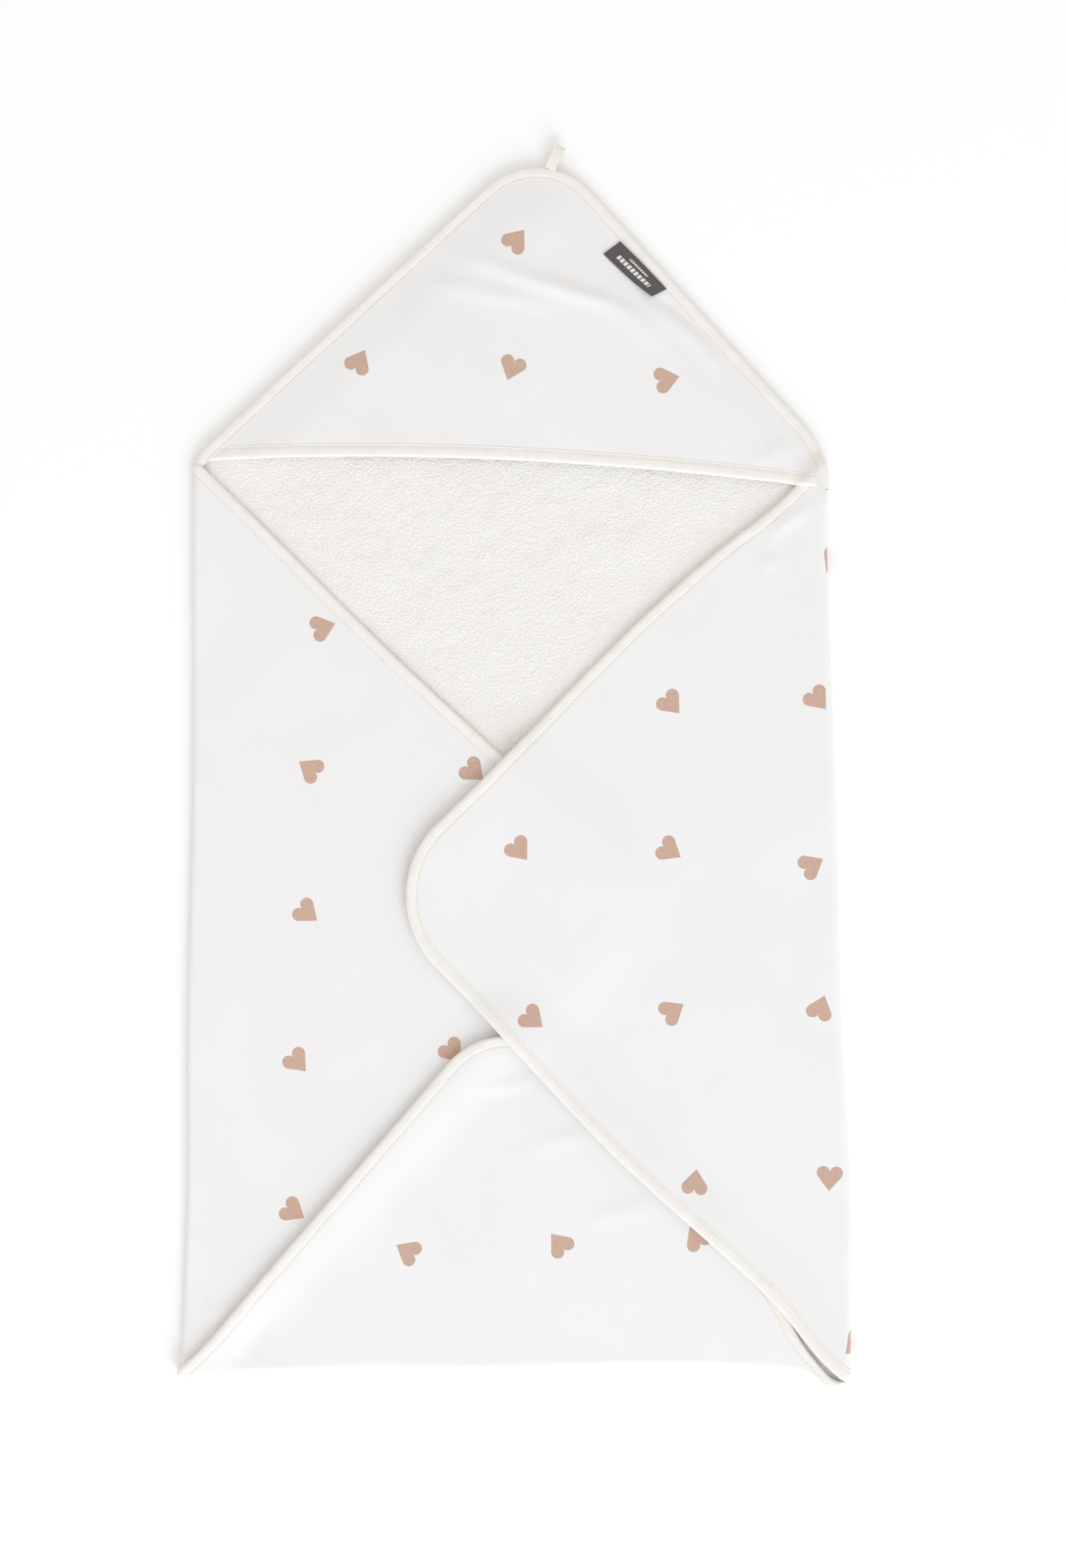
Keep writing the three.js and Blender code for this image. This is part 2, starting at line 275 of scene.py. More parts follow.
class Flap:
    """A corner of the towel, turned over a fold. u runs along the fold and w in from it; below
    w = roll the cloth goes round the fold to the underside, over a developed length of turn.
    A bow of the fold is its height, its middle as a share of the length, and its width. An edge's
    bow has a width before its middle and one after."""

    BOW_FADES = 90  # over this, inwards
    EASE = 1.5  # how softly the edges come to go straight down

    def __init__(self, name, corner, radius, roll, turn, fold_bows, first_bows, second_bows):
        self.name = self.body = name
        middle, self.along = hinge[name + "_fold"]
        starts = {"left_flap": shoulder_left, "foot_flap": foot_left, "right_flap": foot_right}
        self.start = starts[name]
        self.length = 2 * norm(middle - self.start)
        self.inward = left_of(self.along)
        self.roll, self.turn = roll, turn
        self.fold_bows = fold_bows
        a, b = np.zeros(2), np.array([self.length, 0])
        c = np.array(self.own(*corner))
        self.reach = c[1]
        self.centre, setback = rounded_corner(c, a, b, radius)
        self.radius = radius
        self.edges = []
        for foot, bows in ((a, first_bows), (b, second_bows)):
            run = unit(c - foot)
            inward = left_of(run) if foot is b else -left_of(run)
            self.edges.append((foot, run, inward, norm(c - foot) - setback, bows))

    def own(self, x, y):
        dx, dy = x - self.start[0], y - self.start[1]
        return tuple(dx * way[0] + dy * way[1] for way in (self.along, self.inward))

    def fold_bow(self, u):
        """How far the fold is drawn in from its straight line."""
        share = u / self.length
        return sum(amount * bell(share, at, wide) for amount, at, wide in self.fold_bows)

    def plan(self, u, w):
        """Plan place of a point, the fold's bow dying away inwards."""
        w = w + self.fold_bow(u) * bell(w, 0, self.BOW_FADES)
        return tuple(self.start[k] + self.along[k] * u + self.inward[k] * w for k in range(2))

    def edge_bow(self, edge, along):
        """How far an edge swings out from straight, nought from its rounded corner on."""
        share = along / edge[3]
        swing = sum(
            amount * bell(share, at, np.where(share < at, before, after))
            for amount, at, before, after in edge[4]
        )
        return swing * smooth((1 - share) / 0.2)

    def straightened(self, w):
        """w, held at the roll where the cloth goes round the fold, so that its edges go straight
        down there: a softened maximum."""
        return self.roll + self.EASE * np.logaddexp(0, (w - self.roll) / self.EASE)

    def inside(self, u, w):
        """How far in a point is from the free edges."""
        w = self.straightened(w)
        away = []
        for edge in self.edges:
            foot, run, inward = edge[:3]
            du, dw = u - foot[0], w - foot[1]
            bow = self.edge_bow(edge, du * run[0] + dw * run[1])
            away.append(du * inward[0] + dw * inward[1] + bow)
        runs = (edge[1] for edge in self.edges)
        return rounded_distance(u, w, np.minimum(*away), self.centre, self.radius, *runs)

    def edge_line(self):
        """The free edge, from under the fold's first end, round the corner, and under again."""
        sides = []
        for edge in self.edges:
            foot, run, inward, length, _ = edge
            w = np.linspace(self.roll - self.turn, length * run[1], 400)
            along = self.straightened(w) / run[1]
            bow = self.edge_bow(edge, along)
            sides.append(np.stack([foot[0] + along * run[0] - bow / inward[0], w], 1))
        first, last = (side[-1] - self.centre for side in sides)
        begin, end = np.arctan2(first[1], first[0]), np.arctan2(last[1], last[0])
        end -= 2 * np.pi * (end > begin)
        angle = np.linspace(begin, end, 60)[1:-1]
        arc = self.centre + self.radius * np.stack([np.cos(angle), np.sin(angle)], 1)
        return Line(np.vstack([sides[0], arc, sides[1][::-1]]))

    def place(self, u, w, e):
        """A point e above the cloth's face. Inwards of the roll it lies on the relief. Round the
        roll it goes over half an ellipse, as wide as roll and as high as the cloth's top."""
        x, y = self.plan(u, np.maximum(w, self.roll))
        top, slope_x, slope_y = self.relief.at(x, y)
        angle = np.pi * np.clip((self.roll - w) / self.turn, 0, 1)
        half = top / 2
        side, up = -np.sin(angle) / self.roll, np.cos(angle) / half
        a, b = self.inward
        normal = np.stack([a * side - slope_x * up, b * side - slope_y * up, up], -1)
        out = self.roll * np.sin(angle)
        at = np.stack([x - a * out, y - b * out, half * (1 + np.cos(angle))], -1)
        return stood_off(at, normal, e)

    def moves(self, u, w):
        """Share of the flap's turn that a point follows: none under the fold, all on top of it."""
        return smooth((w - self.roll + self.turn) / self.turn) + 0 * u

    def unrolled(self, u, w):
        """Place on the flat cloth, for the print."""
        x, y = self.plan(u, np.maximum(w, self.roll))
        past = np.minimum(w - self.roll, 0)
        return x + self.inward[0] * past, y + self.inward[1] * past

    def grid(self, inset, columns, rows):
        """Even columns along the fold, each from under the fold to inset from the free edge."""
        low = self.roll - self.turn
        middle = np.array([self.length / 2])

        def at_low(u):
            return self.inside(u, np.full_like(u, low)) - inset

        start, end = (
            found(at_low, np.array([outside]), middle)[0] for outside in (-60.0, self.length + 60.0)
        )
        u = np.linspace(start + 0.8, end - 0.8, columns)
        beyond = np.full(columns, self.reach + 20)
        top = found(lambda w: self.inside(u, w) - inset, beyond, np.full(columns, low))
        share = np.linspace(0, 1, rows)[:, None] ** 1.3
        return np.broadcast_to(u, (rows, columns)), low + (top - low) * share


left = Flap(
    "left_flap",
    corner=off_middle(101, 316),
    radius=71, roll=3.9, turn=12.0,
    fold_bows=[(3.2, 0.35, 0.25), (3.0, 0.8, 0.15)],
    first_bows=[(-3, 0.5, 0.3, 0.3)],
    second_bows=[(6, 0.15, 0.2, 0.3)],
)
foot = Flap(
    "foot_flap",
    corner=off_middle(-4, (shoulders - feet)[1] - 272),
    radius=56, roll=4.6, turn=15.0,
    fold_bows=[(8.3, 0.74, 0.3), (4, 0.28, 0.17), (-13, 0.98, 0.035), (-3, 0.01, 0.03)],
    first_bows=[(5, 0.03, 0.05, 0.06)],
    second_bows=[(-10, 0.085, 0.045, 0.12), (6, 0.012, 0.03, 0.02)],
)
right = Flap(
    "right_flap",
    corner=off_middle(-106, 312.5),
    radius=71, roll=4.8, turn=16.0,
    fold_bows=[(2.0, 0.85, 0.15), (-4.5, 0.17, 0.13)],
    first_bows=[(5.5, 0.58, 0.25, 0.25), (5.4, 0.07, 0.12, 0.08)],
    second_bows=[(5, 0.5, 0.27, 0.27), (-4, 0.12, 0.12, 0.12)],
)
flaps = (left, foot, right)

# ---- the hood's plan ----

tip_centre, tip_setback = rounded_corner(tip, shoulder_left, shoulder_right, TIP_RADIUS)
hood_runs = [unit(tip - shoulder_left), unit(tip - shoulder_right)]
END_RADIUS, END_OVER = 16, 0.8  # the hood's end goes round the shoulder and just over the fold
END_BELOW = 27  # from the shoulder down to under the hem
end_corner = shoulder_right - hood_runs[1] * END_OVER
end_run = unit(shoulder_right - foot_right)
end_centre, end_setback = rounded_corner(end_corner, tip, foot_right, END_RADIUS)


def in_from_seams(x, y):
    """How far in a point is from the hood's two sewn edges, with the tip rounded, and from the
    right flap's fold, which the hood's end covers."""
    a, b = hood_runs
    dx, dy = x - tip[0], y - tip[1]
    away = np.minimum(dx * a[1] - dy * a[0], dy * b[0] - dx * b[1])
    away = rounded_distance(x, y, away, tip_centre, TIP_RADIUS, a, b)
    away = np.minimum(away, right.own(x, y)[1] + END_OVER)
    return rounded_distance(x, y, away, end_centre, END_RADIUS, -b, end_run)


def hem_line():
    """The hem, a curve drawn up in the middle, from the left shoulder to the hood's right end."""
    start = shoulder_left + [5, -2.5]
    end = shoulder_right + [-1, -END_BELOW]
    third = (end - start) / 3
    a, b = start + third + [0, 14], end - third + [0, 12]
    t = np.linspace(0, 1, 300)[:, None]
    return (1 - t) ** 3 * start + 3 * t * (1 - t) ** 2 * a + 3 * t * t * (1 - t) * b + t**3 * end


hem = hem_line()


def from_right_flap(x, y):
    """How far a point is outside the right flap's free edge."""
    return -right.inside(*right.own(x, y))


# ---- how high each cloth lies ----


def lifted(flap, height, reach, at, spread):
    """A free edge that stands proud round the point at: its height dies away in from the edge."""
    inside = flap.inside(*flap.own(GX, GY))
    along = np.hypot(GX - at[0], GY - at[1])
    return height * (1 - smooth(inside / reach)) * bell(along, 0, spread)


def covered(flap, edge=6):
    """Where a flap lies, as a share that falls off over its free edge."""
    return smooth(flap.inside(*flap.own(GX, GY)) / edge + 0.5)


left_heights = 2 * CLOTH + CLEAR + rumple(3, 34, 0.35)
left.relief = Relief(creased(left_heights, ([(-222, -383), (-213, -393), (-200, -391)], 5, 1.2)))

LIES_OVER = 0.9  # a cloth over another's edge, above their own thicknesses
under_foot = CLOTH + (CLOTH + LIES_OVER) * covered(left)
foot_heights = soften(tented(under_foot, 8), 9) + CLOTH + 0.6 + rumple(5, 30, 0.35)
foot_heights += lifted(foot, 1.5, 60, (-130, -310), 190)
foot_heights = creased(
    foot_heights,
    ([(13, -225), (-5, -230), (-23, -233)], 5, 1.0),
    ([(53, -264), (10, -274)], 6, 0.9),
    ([(103, -314), (47, -326)], 7, 0.9),
    ([(-172, -382), (-197, -432)], 12, -1.6),
)
foot.relief = Relief(foot_heights)

over_foot = CLOTH + (foot_heights - CLOTH + LIES_OVER) * covered(foot)
under_right = np.maximum(under_foot, over_foot)
right_heights = soften(tented(under_right, 22), 13) + CLOTH + 0.6 + rumple(7, 30, 0.4)
right_heights += lifted(right, 3.0, 60, (-95, -100), 120)
right_heights += lifted(right, 3.0, 34, (90, -290), 120)
right_heights = creased(
    right_heights,
    ([(213, 182), (190, 168), (179, 154)], 5, 1.4),
    ([(186, 144), (175, 137)], 5, 1.0),
)
right.relief = Relief(right_heights)

sewn = in_from_seams(GX, GY)
hood_heights = 5.4 + 3.6 * smooth(sewn / 42) + 3.0 * smooth(sewn / 130) + rumple(11, 30, 0.4)
hood_creases = creased(
    np.zeros(GX.shape),
    ([(-65, 341), (37, 321)], 6, 1.6),
    ([(-41, 361), (13, 339), (68, 325), (97, 310)], 5, 1.8),
    ([(-37, 362), (61, 326), (117, 288)], 7, 1.5),
    ([(96, 331), (113, 323), (133, 306), (158, 281)], 2.4, -1.8),
    ([(94, 322), (110, 314), (130, 297), (150, 272)], 6, 2.0),
    ([(190, 231), (193, 211)], 3.0, 1.7),
    ([(172, 221), (174, 209)], 2.6, 1.3),
    ([(182, 227), (182, 209)], 2.6, 1.4),
    ([(-79, 338), (-66, 289), (-27, 236)], 7, 0.9),
    ([(-47, 316), (-35, 275), (-17, 234)], 6, -0.8),
)
hood_heights += hood_creases * smooth((sewn - 6) / 9)  # flat beside the sewn edges
hood_heights = np.maximum(hood_heights, 4.7)
over_flap = smooth((6 - from_right_flap(GX, GY)) / 9) * smooth((GX - 150) / 30)
hood_heights += (np.maximum(right_heights + CLOTH, hood_heights) - hood_heights) * over_flap
hood_relief = Relief(soften(hood_heights, 1.5))


def hem_inside(x, y):
    return y - np.interp(x, hem[:, 0], hem[:, 1])


class Hood:
    """The hood's cloth, which lies on one relief. Its own measures are x and y."""

    body = "hood"

    def inside(self, x, y):
        """How far in a point is from the sewn edges and from the hem."""
        return np.minimum(in_from_seams(x, y), hem_inside(x, y))

    def place(self, x, y, e):
        top, slope_x, slope_y = hood_relief.at(x, y)
        normal = np.stack([-slope_x, -slope_y, np.ones_like(top)], -1)
        return stood_off(np.stack([x, y, top], -1), normal, e)

    def moves(self, x, y):
        """Share of the hood's lift that a point follows: none at the sewn edges."""
        return smooth((in_from_seams(x, y) - 12) / 110)

    def unrolled(self, x, y):
        return x, y


hood = Hood()

# ---- meshes ----


def outline_corner(corner, back, on, radius):
    """A corner of the folded towel's outline: its rounding's centre and radius, the runs of its
    edges towards it, and the ways out from them."""
    centre, _ = rounded_corner(corner, back, on, radius)
    runs = [unit(corner - back), unit(corner - on)]
    outs = [unit((corner - centre) - run * ((corner - centre) @ run)) for run in runs]
    return centre, radius, runs, outs


corners = [
    outline_corner(shoulder_right, tip, foot_right, 60),
    outline_corner(shoulder_left, tip, foot_left, 30),
    outline_corner(foot_right + [1, -9], shoulder_right + [1, 0], foot_left + [0, -9], 12),
    outline_corner(foot_left + [-6, -4], shoulder_left + [-6, 0], foot_right + [0, -4], 8),
]


def drawn_round(points):
    """Cloth worked into round corners. Past both ends of a rounding a point goes towards its
    centre, by a share that grows from nought there to what brings the outline onto the circle."""
    for centre, radius, runs, outs in corners:
        way = points[:, :2] - centre
        far = norm(way, axis=1) + 1e-9
        past = (way @ runs[0] > 0) & (way @ runs[1] > 0)
        most = np.maximum(way @ outs[0], way @ outs[1]) / far
        scale = 1 - (1 - most) * smooth(far * most / radius)
        points[past, :2] = centre + way[past] * scale[past, None]
    return points


def quads(index):
    """Four-cornered faces of a grid of vertex numbers."""
    around = [index[:-1, :-1], index[:-1, 1:], index[1:, 1:], index[1:, :-1]]
    return np.stack(around, -1).reshape(-1, 4)


def placed(name, data):
    """A new object of that data, in the scene."""
    made = bpy.data.objects.new(name, data)
    scene.collection.objects.link(made)
    return made


def make(name, points, faces, cloth=None):
    """A mesh object at the origin with smooth faces turned outwards, so that its volume, the sum
    over faces of corner times the cross product of the next two, is positive. cloth is each
    vertex's place on the flat cloth, kept as a UV map in millimetres."""
    points = drawn_round(points)
    points[:, 2] *= np.where(points[:, 2] < 0, 0.3, 1)  # the table presses it flat
    a, b, c, d = (points[faces[:, k]] for k in range(4))
    volume = (a * np.cross(b, c)).sum() + (a * np.cross(c, d)).sum()
    if volume < 0:
        faces = faces[:, ::-1]
    mesh = bpy.data.meshes.new(name)
    mesh.from_pydata(points * MM, [], faces)
    mesh.polygons.foreach_set("use_smooth", np.ones(len(faces), bool))
    mesh.set_sharp_from_angle(angle=np.radians(55))
    if cloth is not None:
        mesh.uv_layers.new(name="cloth").data.foreach_set("uv", cloth[faces].ravel())
    return placed(name, mesh)


def shell(name, outer, inner, cloth):
    """A closed sheet between two grids of points: the outer grid's faces, the inner grid's the
    other way round, and a strip round the rim."""
    rows, cols = outer.shape[:2]
    count = rows * cols
    index = np.arange(count).reshape(rows, cols)
    rim = np.concatenate([index[0, :-1], index[:-1, -1], index[-1, :0:-1], index[:0:-1, 0]])
    on = np.roll(rim, -1)
    strip = np.stack([on, rim, rim + count, on + count], 1)
    faces = np.vstack([quads(index), quads(index + count)[:, ::-1], strip])
    points = np.vstack([outer.reshape(-1, 3), inner.reshape(-1, 3)])
    flat = np.stack(cloth, -1).reshape(-1, 2)
    return make(name, points, faces, np.vstack([flat, flat]))


def pinch(s):
    """How the topstitch draws the cloth down, at s in from the tape's edge."""
    return -0.4 * bell(s, STITCH_LINE, 1.0)


def jersey_back(s):
    return pinch(s) - JERSEY


def pile_top(s):
    return pinch(s) - JERSEY - SLIP


def cloth_sheet(name, cloth, grid, top, bottom):
    """A panel's jersey or terry, between two heights over its face. Both are functions of how
    far in from its edges a point is."""
    s = cloth.inside(*grid)
    outer, inner = cloth.place(*grid, top(s)), cloth.place(*grid, bottom(s))
    made = shell(name, outer, inner, cloth.unrolled(*grid))
    follow(made, cloth, grid)
    return made


def tape_section(top, bottom):
    """A folded tape's outer and inner line across the edge, as (s, e) pairs of arrays that end
    in the section's points. The top leg puffs between the stitch and the fold, half an ellipse
    takes the tape round the edge, and the lower leg lies flat."""
    bend = 2.4
    leg = np.linspace(TAPE_WIDTH, bend, 9)
    angle = np.linspace(0, np.pi, 11)[1:-1]
    low = np.linspace(bend, TAPE_WIDTH, 6)

    def line(inset):
        s = np.concatenate([leg, inset + (bend - inset) * (1 - np.sin(angle)), low])
        puff = 0.2 * np.sin(np.pi * np.clip((STITCH_LINE - s) / STITCH_LINE, 0, 1)) + pinch(s)
        share = np.concatenate([0 * leg, (1 - np.cos(angle)) / 2, 0 * low + 1])
        high, deep = top[..., None] - inset, bottom[..., None] + inset
        return s, high + (deep - high) * share + puff * (1 - share)

    return line(0), line(TAPE)


def tape(name, cloth, line, top, bottom, lower=None):
    """A folded tape along a line. It puckers from stitch to stitch and its height wanders
    from post to post. lower, where given, presses it down near another seam."""
    along = line.at
    n = len(along)
    pucker = 0.10 * np.cos(2 * np.pi * along / (STITCH + STITCH_GAP))
    posts = np.arange(0, along[-1] + 30, 15)
    wander = np.interp(along, posts, np.random.default_rng(n).normal(0, 0.14, len(posts)))
    grids = []
    for s, e in tape_section(np.full(n, top), np.broadcast_to(bottom, n)):
        near = bell(s, 5.2, 2.2) * (e > 0)
        e = e + (pucker[:, None] + wander[:, None]) * near
        x, y = line.inside(along[:, None], s[None, :])
        if lower is not None:
            e = e + lower(x, y)
        grids.append(cloth.place(x, y, e))
    across = np.linspace(0, 20, len(s))
    flat = np.broadcast_arrays(along[:, None], across)
    made = shell(name, *grids, flat)
    return made, line.inside(along[:, None], np.broadcast_to(s, (n, len(s))))


def stitch_row(name, cloth, line, lower=None):
    """A row of lockstitches: short threads whose ends dip into the tape, each a tube of six
    sides and five rings along the line."""
    rings, sides = 5, 6
    pitch = STITCH + STITCH_GAP
    middles = np.arange(pitch, line.length - pitch, pitch)
    along = np.linspace(-0.5, 0.5, rings) * STITCH
    thick = THREAD * np.array([0.45, 1, 1, 1, 0.45])
    dip = -0.34 * np.abs(np.linspace(-1, 1, rings)) ** 3
    angle = np.linspace(0, 2 * np.pi, sides, endpoint=False)
    run = middles[:, None, None] + along[None, :, None] + 0 * angle
    side = STITCH_LINE + (thick[:, None] * np.cos(angle))[None] + 0 * run
    up = STITCH_HEIGHT + (dip[:, None] + thick[:, None] * np.sin(angle))[None] + 0 * run
    x, y = line.inside(run, side)
    if lower is not None:
        up = up + lower(x, y)
    points = cloth.place(x, y, up)
    count = len(middles)
    index = np.arange(count * rings * sides).reshape(count, rings, sides)
    around = np.roll(index, -1, axis=2)
    tube = np.stack([index[:, :-1], around[:, :-1], around[:, 1:], index[:, 1:]], -1).reshape(-1, 4)
    ends = ((0, (3, 2, 1, 0)), (0, (5, 4, 3, 0)), (4, (0, 1, 2, 3)), (4, (0, 3, 4, 5)))
    caps = [index[:, ring][:, order] for ring, order in ends]
    flat = np.stack([run, side], -1).reshape(-1, 2)
    return make(name, points.reshape(-1, 3), np.vstack([tube, *caps]), flat), (x, y)


def follow(made, cloth, where):
    """Bakes the piece's placing into its mesh. Two places on the panel and the panel's own share at
    each vertex are worked out, but nothing uses them. A closed sheet has every place twice, on its
    outer grid and on its inner one."""
    both = np.array([0.0, 1.0])
    ends = cloth.place(both, both, np.zeros(2)) * MM
    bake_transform(made)
    share = cloth.moves(*where).ravel()


# ---- print ----

HEART = 13.05  # tip to the line through its two lobes' middles
LOBE = 4.75
LOBES_APART = 4.6  # each from the heart's own middle line
SLANT = np.radians(39.5)
HEART_MIDDLE = 9  # from its tip
ROWS, COLUMNS = np.arange(-408, 440, 108), np.arange(-204, 210, 102)  # the print's repeat
CLEAR_OF_OTHERS = 78
UNDER_FLAP = 25  # this far under the right flap a heart is out of sight

shown_hearts = {
    "hood": [(7, 377, 51), (-106, 292, 62), (-5, 270, -110), (117, 273, 13)],
    "left_flap": [(-127, 98, 18), (-153, 0, 146), (-22, -13, -40), (-140, -113, -38)]
    + [(-148, -220, -48), (-149, -324, -32), (-38, -213, -50)],
    "right_flap": [(117, 34, -49), (9, -70, -51), (118, -68, -32), (20, -188, -39)]
    + [(120, -172, 33), (220, -166, 71), (129, -289, 83), (223, -305, -93)]
    + [(222, 134, -120), (221, 37, -50), (219, -69, 30), (234.5, -420, -140)],
    "foot_flap": [(-84, -343, 150), (26, -335, 129), (124, -330, 122)],
    "back": [],
}


def hearts_of(panel, hidden):
    """The hearts of a panel as (x, y, turn): the ones in sight, and the same repeat with seeded
    turns where hidden says that the cloth is out of sight, clear of the others."""
    hearts = [(x, y, np.radians(turn)) for x, y, turn in shown_hearts[panel]]
    chance = np.random.default_rng(21)
    for y in ROWS:
        for x in COLUMNS:
            heart = (x + chance.uniform(-4, 4), y + chance.uniform(-4, 4), chance.uniform(0, 6.28))
            near = min((np.hypot(x - h[0], y - h[1]) for h in hearts), default=999)
            if near > CLEAR_OF_OTHERS and hidden(np.float64(x), np.float64(y)):
                hearts.append(heart)
    return np.array(hearts)


def print_on(made, hearts):
    """A second UV map: each face's place measured from its nearest heart's tip, in millimetres,
    across the heart and up from the tip."""
    mesh = made.data
    flat = np.zeros(len(mesh.loops) * 2, np.float32)
    mesh.uv_layers["cloth"].data.foreach_get("uv", flat)
    flat = flat.reshape(-1, 4, 2)
    to_tip = np.stack([np.cos(hearts[:, 2]), np.sin(hearts[:, 2])], 1)
    middles = hearts[:, :2] - HEART_MIDDLE * to_tip
    away = norm(flat.mean(1)[:, None] - middles[None], axis=2)
    nearest = away.argmin(1)
    from_tip = flat - hearts[nearest][:, None, :2]
    way = to_tip[nearest][:, None]
    across = from_tip[..., 0] * -way[..., 1] + from_tip[..., 1] * way[..., 0]
    up = -(from_tip * way).sum(2)
    layer = mesh.uv_layers.new(name="print")
    layer.data.foreach_set("uv", np.stack([across, up], -1).astype(np.float32).ravel())


# ---- finishes ----


def linear(colour):
    """An sRGB hex colour as linear red, green, blue and one."""
    parts = [int(colour[i : i + 2], 16) / 255 for i in (1, 3, 5)]
    return [x / 12.92 if x <= 0.04045 else ((x + 0.055) / 1.055) ** 2.4 for x in parts] + [1]


def give(tree, node, inputs):
    """Each input takes a value or another node's output."""
    for key, value in inputs.items():
        if isinstance(value, bpy.types.NodeSocket):
            tree.links.new(value, node.inputs[key])
        else:
            node.inputs[key].default_value = value


def add(tree, kind, inputs={}, out=0, **settings):
    """A new node with its settings. Returns the node's output of that name or number."""
    made = tree.nodes.new("ShaderNode" + kind)
    for key, value in settings.items():
        setattr(made, key, value)
    give(tree, made, inputs)
    return made.outputs[out]


def node_material(name):
    """A new material, its node tree and its shader."""
    made = bpy.data.materials.new(name)
    made.use_nodes = True
    return made, made.node_tree, made.node_tree.nodes["Principled BSDF"]


def fabric(name, roughness, sheen, colour, bump, strength, distance):
    """A matt cloth: its colour and its bump come from the two functions, given the node tree.
    The bump has that strength and that distance in metres."""
    made, tree, shader = node_material(name)
    matt = {"Roughness": roughness, "Specular IOR Level": 0.25}
    fuzz = {"Sheen Weight": sheen, "Sheen Roughness": 0.6}
    give(tree, shader, {**matt, **fuzz, "Base Color": colour(tree)})
    relief = {"Height": bump(tree), "Strength": strength, "Distance": distance}
    give(tree, shader, {"Normal": add(tree, "Bump", relief)})
    return made


def flat_cloth(tree, name="cloth"):
    """The place on the flat cloth, in millimetres."""
    return add(tree, "UVMap", uv_map=name)


def measures(tree, name="cloth"):
    """The two measures of that place, apart."""
    apart = add(tree, "SeparateXYZ", {0: flat_cloth(tree, name)}).node
    return apart.outputs["X"], apart.outputs["Y"]


def math(tree, operation, a, b=0.0):
    return add(tree, "Math", {0: a, 1: b}, operation=operation)


def plus(tree, a, b):
    return math(tree, "ADD", a, b)


def less(tree, a, b):
    return math(tree, "SUBTRACT", a, b)


def times(tree, a, b):
    return math(tree, "MULTIPLY", a, b)


def mix(tree, share, a, b):
    """Colour a, and b where share is one. Each is an sRGB hex colour or a node's output."""
    a, b = (linear(colour) if isinstance(colour, str) else colour for colour in (a, b))
    return add(tree, "Mix", {0: share, 6: a, 7: b}, out=2, data_type="RGBA")


def noise(tree, size, detail=2.0):
    """Noise whose lumps are about size across, in millimetres, from nought to one."""
    inputs = {"Vector": flat_cloth(tree), "Scale": 1 / size, "Detail": detail}
    return add(tree, "TexNoise", inputs)


def ribs(tree, scale, distortion, direction="X", **more):
    """Even ribs across the flat cloth or aslant, from nought to one, pushed about by noise."""
    inputs = {"Vector": flat_cloth(tree), "Scale": scale, "Distortion": distortion, **more}
    return add(tree, "TexWave", inputs, bands_direction=direction)


def spread(tree, value, low, high, a=0.0, b=1.0):
    """value between low and high, drawn out smoothly to between a and b."""
    return add(
        tree,
        "MapRange",
        {"Value": value, "From Min": low, "From Max": high, "To Min": a, "To Max": b},
        interpolation_type="SMOOTHSTEP",
    )


def heart_ink(tree):
    """How much print there is. A heart is two round lobes and the wedge between its tip and
    them. Each part's depth inside is worked out in millimetres, and the greatest counts: a lobe's
    is its radius less the way to its middle; the wedge's is the least of its depths inside the
    slanted side, under the radius to where the side touches the lobe, and under the notch."""
    x, y = measures(tree, "print")
    x = math(tree, "ABSOLUTE", x)
    dx = less(tree, x, LOBES_APART)
    dy = less(tree, y, HEART)
    way = math(tree, "SQRT", plus(tree, times(tree, dx, dx), times(tree, dy, dy)))
    lobe = less(tree, LOBE, way)
    sine, cosine = float(np.sin(SLANT)), float(np.cos(SLANT))
    side = less(tree, times(tree, y, sine), times(tree, x, cosine))
    under = less(tree, times(tree, dx, -sine), times(tree, dy, cosine))
    notch = less(tree, less(tree, x, LOBES_APART - LOBE), dy)
    wedge = math(tree, "MINIMUM", side, math(tree, "MINIMUM", under, notch))
    return spread(tree, math(tree, "MAXIMUM", lobe, wedge), -0.15, 0.25)


def jersey_colour(tree):
    """Off-white cotton. The pigment sits on the yarn's crowns, so it is speckled where it misses
    the valleys between them."""
    ground = mix(tree, spread(tree, noise(tree, 60), 0.35, 0.65), "#F0EFEF", "#EFEDEC")
    speck = spread(tree, noise(tree, 0.8, 3), 0.36, 0.62)
    blotch = spread(tree, noise(tree, 3.2, 2), 0.3, 0.7)
    ink = mix(tree, speck, "#BE9A88", "#D1B2A0")
    ink = mix(tree, times(tree, blotch, 0.45), ink, "#D3B4A3")
    return mix(tree, heart_ink(tree), ground, ink)


def knit(tree):
    """Columns of stitches 0.9 mm apart in the real knit, drawn 1.5 mm apart so that they show,
    broken up by noise."""
    columns = ribs(tree, 0.105, 2.2, "DIAGONAL", **{"Detail": 2.0, "Detail Scale": 1.6})
    return plus(tree, times(tree, columns, 0.35), noise(tree, 1.1, 3))


LOOP_SIZE = 1.9


def loops(tree, size):
    """Terry loops: round crowns, each the middle of a cell about size across, high on the crowns
    and low between. The bump takes it as height, and the colour takes its low places as painted
    shade between the loops.
    """
    place = flat_cloth(tree)
    inputs = {"Vector": flat_cloth(tree), "Scale": 0.45, "Detail": 3.0}
    drift = add(tree, "TexNoise", inputs, out="Color")
    drifted = add(tree, "VectorMath", {0: place, 1: drift}, operation="ADD")
    cell = add(tree, "TexVoronoi", {"Vector": drifted, "Scale": 1 / size}, out="Distance")
    return spread(tree, cell, 0.75, 0.05)


def terry_colour(tree):
    """Undyed loops, with painted shade darkening the gaps between their crowns. The pile lies this
    way and that in patches.
    """
    lay = spread(tree, noise(tree, 5, 3), 0.3, 0.7)
    # painted shade: the colour is darker between the loop crowns, where shade falls among the loops
    crowns = mix(tree, loops(tree, LOOP_SIZE), "#EFEBE5", "#FAFAF9")
    return mix(tree, times(tree, lay, 0.4), crowns, "#F2EFEB")


